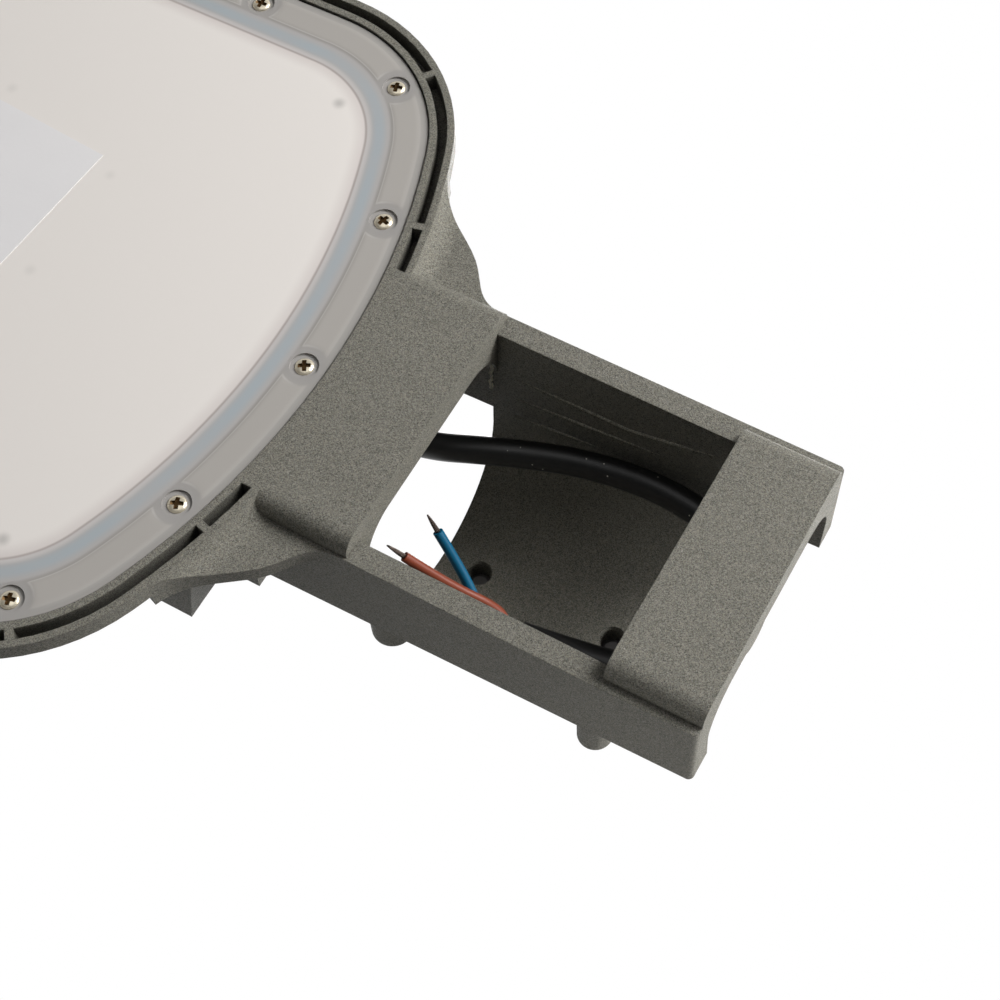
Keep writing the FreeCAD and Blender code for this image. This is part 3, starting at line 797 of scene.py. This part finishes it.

# Powder coat: pale and dark grains, painted shade that darkens narrow hollows, and softly shaded edges;
# metres
coatSet = {
    "dark": rgb(61, 61, 56),
    "light": rgb(163, 163, 157),
    "warm": rgb(164, 157, 139),
    "grain": {"Scale": 4200.0, "Patch Scale": 700.0},
    "dust": {"Scale": 260.0, "Amount": 0.05, "Size": 0.05},
    "bump": 1.0,
    "grainDepth": 0.0002,
    "shine": 0.14,
    "edgeRadius": 0.0006,
    "roughness": (0.65, 0.45),
    # Reach, range and strength of the painted shade in narrow hollows
    "paintedShadeReach": 0.007,
    "paintedShadeRange": (0.1, 0.5),
    "paintedHollowShade": 0.4,
    "samples": 4,
}


# paintedLightScale multiplies the coat colour: above 1 it paints light onto marks lying in shade, below 1 it
# paints shade
def makeCoat(name, paintedLightScale=1.0, paintedHollowShade=coatSet["paintedHollowShade"]):
    material, tree, shader = newMaterial(name, Specular_IOR_Level=coatSet["shine"])
    vector = objectCoordinates(tree)
    samples = coatSet["samples"]
    grain = placeGroup(tree, coatGrain, vector, coatSet["grain"])
    tone = mixColor(tree, grain["Hue"], coatSet["light"], coatSet["warm"])
    color = mixColor(tree, grain["Grain"], coatSet["dark"], tone)
    reach = {"Distance": coatSet["paintedShadeReach"]}
    # Painted shade: an occlusion mask darkens the coat colour in narrow hollows and corners
    paintedShadeMask = addNode(tree, "ShaderNodeAmbientOcclusion", reach, samples=samples).outputs["AO"]
    shade = multiply(tree, mapRange(tree, paintedShadeMask, coatSet["paintedShadeRange"], (paintedHollowShade, 1.0)), paintedLightScale)
    color = mixColor(tree, 1.0, color, greyColor(tree, shade), "MULTIPLY")
    dust = placeGroup(tree, dustSpecks, vector, coatSet["dust"])
    color = mixColor(tree, dust["Mask"], color, dustColor)
    tree.links.new(color, shader.inputs["Base Color"])
    rough = mapRange(tree, grain["Grain"], (0, 1), coatSet["roughness"])
    tree.links.new(rough, shader.inputs["Roughness"])
    edge = {"Radius": coatSet["edgeRadius"]}
    rounded = addNode(tree, "ShaderNodeBevel", edge, samples=samples).outputs["Normal"]
    bump = bumpNormal(tree, grain["Height"], coatSet["bump"], coatSet["grainDepth"], rounded)
    tree.links.new(bump, shader.inputs["Normal"])
    return material


# Cover colours from its edge inwards; a spot is a faint round shade on the opal
coverLook = {
    "edge": rgb(148, 145, 141),
    "pad": rgb(158, 154, 149),
    # Painted highlight along the pads' inner edge and ends
    "padEdgeHighlight": rgb(172, 168, 164),
    "ring": rgb(147, 144, 141),
    "land": rgb(161, 158, 156),
    "gasket": rgb(152, 159, 163),
    "inner": rgb(182, 178, 176),
    "seam": rgb(164, 156, 152),
    "opalEdge": rgb(196, 189, 185),
    "opal": rgb(211, 206, 201),
    "spot": rgb(172, 168, 164),
}
# Where each tone of the cover starts and ends, by inset from its edge in millimetres
coverBands = {
    "padEdgeHighlight": (4.0, 8.0),
    "land": (9.6, 10.6),
    "gasketStart": (10.4, 12.6),
    "gasketEnd": (13.4, 15.6),
    "inner": (14.4, 16.0),
    "seamStart": (16.0, 16.4),
    "seamEnd": (16.5, 17.1),
    "opal": (16.4, 16.7),
    "opalEdge": (16.6, 21.0),
    "frosted": (16.4, 17.5),
}
coverFinish = {
    "cloud": {"Scale": 90.0, "Patch Scale": 60.0},
    "cloudRange": (0.3, 0.65),
    "cloudStrength": (0.55, 1.0),
    "flangeRoughness": (0.3, 0.36),
    "opalRoughness": 0.55,
    "bump": 0.1,
    "bumpDepth": 0.00005,
}
coverSpots = [
    {"place": (164.0, 74.5), "radius": 2.6, "strength": 0.9},
    {"place": (164.0, -74.5), "radius": 2.6, "strength": 0.9},
    {"place": (204.8, -8.8), "radius": 2.4, "strength": 0.25},
    {"place": (204.4, 25.8), "radius": 2.2, "strength": 0.2},
    {"place": (245.3, 37.6), "radius": 2.4, "strength": 0.25},
]


def beyond(tree, inset, band):
    return mapRange(tree, inset, coverBands[band], smooth=True)


def between(tree, value, rise, fall):
    up = mapRange(tree, value, rise, smooth=True)
    down = mapRange(tree, value, fall, (1.0, 0.0), smooth=True)
    return multiply(tree, up, down)


def vertexValue(tree, name):
    node = addNode(tree, "ShaderNodeAttribute", attribute_name=name, attribute_type="GEOMETRY")
    return node.outputs["Fac"]


def makeCoverMaterial():
    material, tree, shader = newMaterial("opalCover")
    vector = objectCoordinates(tree)
    inset = vertexValue(tree, "inset")
    toScrew = vertexValue(tree, "screwDistance")
    cloud = placeGroup(tree, coatGrain, vector, coverFinish["cloud"])
    across = between(tree, inset, padSet["outer"], padSet["inner"])
    pad = multiply(tree, across, mapRange(tree, toScrew, padSet["end"], smooth=True))
    # The product of a mask and its reverse, times 4, is 1 half way up the mask's slope
    slope = multiply(tree, multiply(tree, pad, mathNode(tree, "SUBTRACT", 1.0, pad)), 4.0)
    # Painted highlight: a lighter line along the pads' inner edge and ends
    padEdgeHighlight = multiply(tree, slope, mapRange(tree, inset, coverBands["padEdgeHighlight"]))
    ring = mapRange(tree, toScrew, padSet["halo"], (1.0, 0.0), smooth=True)
    cloudy = mapRange(tree, cloud["Patch"], coverFinish["cloudRange"], coverFinish["cloudStrength"])
    blue = between(tree, inset, coverBands["gasketStart"], coverBands["gasketEnd"])
    opal = mixColor(tree, beyond(tree, inset, "opalEdge"), coverLook["opalEdge"], coverLook["opal"])
    seam = between(tree, inset, coverBands["seamStart"], coverBands["seamEnd"])
    layers = [
        (pad, coverLook["pad"]),
        (padEdgeHighlight, coverLook["padEdgeHighlight"]),
        (ring, coverLook["ring"]),
        (beyond(tree, inset, "land"), coverLook["land"]),
        (multiply(tree, blue, cloudy), coverLook["gasket"]),
        (beyond(tree, inset, "inner"), coverLook["inner"]),
        (beyond(tree, inset, "opal"), opal),
        (seam, coverLook["seam"]),
    ]
    for spot in coverSpots:
        centre = (*(value * mm for value in spot["place"]), coverSize["face"] * mm)
        away = addNode(tree, "ShaderNodeVectorMath", {0: vector, 1: centre}, operation="DISTANCE")
        reach = (0, spot["radius"] * mm)
        mask = mapRange(tree, away.outputs["Value"], reach, (spot["strength"], 0.0), smooth=True)
        layers.append((mask, coverLook["spot"]))
    color = coverLook["edge"]
    for mask, layer in layers:
        color = mixColor(tree, mask, color, layer)
    tree.links.new(color, shader.inputs["Base Color"])
    flange = mapRange(tree, cloud["Grain"], (0, 1), coverFinish["flangeRoughness"])
    frosted = mapRange(tree, inset, coverBands["frosted"])
    rough = mixValue(tree, frosted, flange, coverFinish["opalRoughness"])
    tree.links.new(rough, shader.inputs["Roughness"])
    bump = bumpNormal(tree, cloud["Grain"], coverFinish["bump"], coverFinish["bumpDepth"])
    tree.links.new(bump, shader.inputs["Normal"])
    return material


# Plain materials: slow patches that are a little darker and shinier or duller, and specks on what is dusty
plainSet = {
    "grain": {"Scale": 300.0, "Patch Scale": 25.0},
    "spread": 0.12,
    "patchRange": (0.3, 0.7),
    "roughSpread": 0.06,
    "bump": 0.15,
    "bumpDepth": 0.0001,
    "dust": {"Scale": 420.0, "Size": 0.09},
}


def plainMaterial(name, color, roughness, metallic=0.0, spread=plainSet["spread"], dust=0.0, **surface):
    material, tree, shader = newMaterial(name, Metallic=metallic, **surface)
    vector = objectCoordinates(tree)
    grain = placeGroup(tree, coatGrain, vector, plainSet["grain"])
    darker = (*(channel * (1 - spread) for channel in color[:3]), 1)
    shade = mixColor(tree, grain["Patch"], color, darker)
    if dust:
        specks = placeGroup(tree, dustSpecks, vector, {**plainSet["dust"], "Amount": dust})
        shade = mixColor(tree, specks["Mask"], shade, dustColor)
    tree.links.new(shade, shader.inputs["Base Color"])
    roughRange = (roughness - plainSet["roughSpread"], roughness + plainSet["roughSpread"])
    rough = mapRange(tree, grain["Patch"], plainSet["patchRange"], roughRange)
    tree.links.new(rough, shader.inputs["Roughness"])
    bump = bumpNormal(tree, grain["Height"], plainSet["bump"], plainSet["bumpDepth"])
    tree.links.new(bump, shader.inputs["Normal"])
    return material


materials = {
    "coat": makeCoat("powderCoat"),
    # Painted light: the casting ribs lie in the far wall's shade, so their coat is painted 1.8 times lighter
    "ribPaintedLight": makeCoat("ribPaintedLightCoat", paintedLightScale=1.8, paintedHollowShade=1.0),
    # Painted shade: the threads inside the clamp holes get a coat painted 0.8 times darker
    "thread": makeCoat("threadPaintedShadeCoat", paintedLightScale=0.8, paintedHollowShade=1.0),
    # Painted light: the flash line lies in the far wall's shade, so its coat is painted 4.2 times lighter
    "flash": makeCoat("flashPaintedLight", paintedLightScale=4.2, paintedHollowShade=1.0),
    "cover": makeCoverMaterial(),
    "rubber": plainMaterial("rubber", rgb(60, 62, 64), 0.6),
    "screw": plainMaterial("platedScrew", rgb(222, 212, 190), 0.3, 0.6, spread=0.1),
    # Painted shade: a dark brown metal for the faces inside the screws' cross recess
    "cross": plainMaterial("crossPaintedShade", rgb(92, 70, 42), 0.4, 0.8, spread=0.3),
    "steel": plainMaterial("zincSteel", rgb(122, 119, 117), 0.62, 0.2, spread=0.2),
    "board": plainMaterial("boardLacquer", rgb(228, 228, 224), 0.35),
    "chip": plainMaterial("chipPhosphor", rgb(226, 206, 96), 0.45),
    "whitePlastic": plainMaterial("whitePlastic", rgb(222, 221, 214), 0.45),
    "heatPad": plainMaterial("heatPad", rgb(120, 134, 150), 0.8),
    "driver": plainMaterial("driverCase", rgb(190, 190, 188), 0.4, 1.0),
    "lid": plainMaterial("driverLid", rgb(34, 34, 35), 0.5),
    "gland": plainMaterial("glandPlastic", rgb(22, 22, 23), 0.4),
    "jacket": plainMaterial("cableJacket", rgb(19, 19, 19), 0.4, dust=0.25),
    "brown": plainMaterial("brownCore", rgb(116, 54, 34), 0.45, Specular_IOR_Level=0.3),
    "blue": plainMaterial("blueCore", rgb(0, 80, 110), 0.5, Specular_IOR_Level=0.25),
    "copper": plainMaterial("bareStrands", rgb(92, 82, 76), 0.45, 1.0),
    "label": plainMaterial("labelPaper", rgb(216, 214, 214), 0.5),
}
nodeMaterials = {
    "housing": "coat", "gasket": "rubber", "data_label": "label",
    "thermal_pad": "heatPad", "led_board": "board", "led_chips": "chip",
    "board_screws": "steel", "board_terminal": "whitePlastic", "terminal_block": "whitePlastic",
    "driver_case": "driver", "driver_lid": "lid", "driver_screws": "steel",
    "gland_body": "gland", "gland_cap": "gland", "gland_locknut": "gland",
    "gland_seal": "rubber", "gland_sleeve": "rubber",
}
pieceMaterials = [
    (lightCover, "cover"), (clampBolts, "steel"), (supplyCable, "jacket"),
    (brownCore, "brown"), (blueCore, "blue"), (brownStrands, "copper"), (blueStrands, "copper"),
    (holeThreads, "thread"), (castingRibs, "ribPaintedLight"), (flashLine, "flash"),
]


def dress(piece, *looks):
    if piece.data.materials:
        piece.data.materials.clear()
    for look in looks:
        piece.data.materials.append(look)


for nodeName, materialName in nodeMaterials.items():
    dress(nodes[nodeName], materials[materialName])
for piece, materialName in pieceMaterials:
    dress(piece, materials[materialName])
dress(coverScrews, materials["screw"], materials["cross"])
for piece in (supplyCable, brownCore, blueCore, brownStrands, blueStrands):
    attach(piece, "root")
print("materials placed:", len(materials))


# White surroundings, one soft main lamp on the light side and weaker ones round it; places in metres
lampSet = {
    "main": {"place": (-0.6, 0.8, -0.9), "size": 0.7, "power": 28.9, "aim": (0.2, 0.0, 0.0)},
    "fill": {"place": (0.2, 0.0, -1.4), "size": 0.8, "power": 2.2, "aim": (0.2, 0.0, 0.0)},
    "mouth": {"place": (-0.45, 0.16, -0.05), "size": 0.3, "power": 2.6, "aim": (0.0, 0.0, 0.0)},
    "side": {"place": (-0.03, -0.14, -0.01), "size": 0.06, "power": 0.05, "aim": (0.0, -0.035, 0.0)},
    "sky": {"place": (0.3, 0.9, 1.1), "size": 0.8, "power": 18.0, "aim": (0.2, 0.0, 0.0)},
}
worldLight = 0.02
white = (1, 1, 1, 1)
floorSet = {"z": -2.4, "size": 12.0, "color": (0.85, 0.85, 0.85, 1), "roughness": 0.9}


def makeLamps():
    for name, lamp in lampSet.items():
        data = bpy.data.lights.new(name, "AREA")
        data.size = lamp["size"]
        data.energy = lamp["power"]
        holder = bpy.data.objects.new(name, data)
        bpy.context.collection.objects.link(holder)
        holder.location = lamp["place"]
        way = Vector(lamp["aim"]) - holder.location
        holder.rotation_euler = way.to_track_quat("-Z", "Y").to_euler()


# The surroundings look white, and they light the lamp only weakly
def makeWorld():
    world = bpy.data.worlds.new("surroundings")
    bpy.context.scene.world = world
    world.use_nodes = True
    tree = world.node_tree
    back = tree.nodes["Background"]
    rays = addNode(tree, "ShaderNodeLightPath").outputs
    seen = mathNode(tree, "MAXIMUM", rays["Is Camera Ray"], rays["Is Glossy Ray"])
    seen = mathNode(tree, "MAXIMUM", seen, rays["Is Transmission Ray"])
    tree.links.new(mapRange(tree, seen, (0, 1), (worldLight, 1.0)), back.inputs["Strength"])
    back.inputs["Color"].default_value = white


# Seen from above, the floor looks white too
def makeFloor():
    shape = bmesh.new()
    bmesh.ops.create_grid(shape, x_segments=1, y_segments=1, size=floorSet["size"] / 2)
    bmesh.ops.translate(shape, verts=shape.verts, vec=(0, 0, floorSet["z"]))
    floor = meshObject("floor", shape)
    material, tree, shader = newMaterial("paleFloor", Roughness=floorSet["roughness"])
    shader.inputs["Base Color"].default_value = floorSet["color"]
    shader.inputs["Emission Color"].default_value = white
    rays = addNode(tree, "ShaderNodeLightPath").outputs
    tree.links.new(rays["Is Camera Ray"], shader.inputs["Emission Strength"])
    dress(floor, material)


makeLamps()
makeWorld()
makeFloor()
bpy.context.scene.view_settings.view_transform = "Standard"
print("stage made")
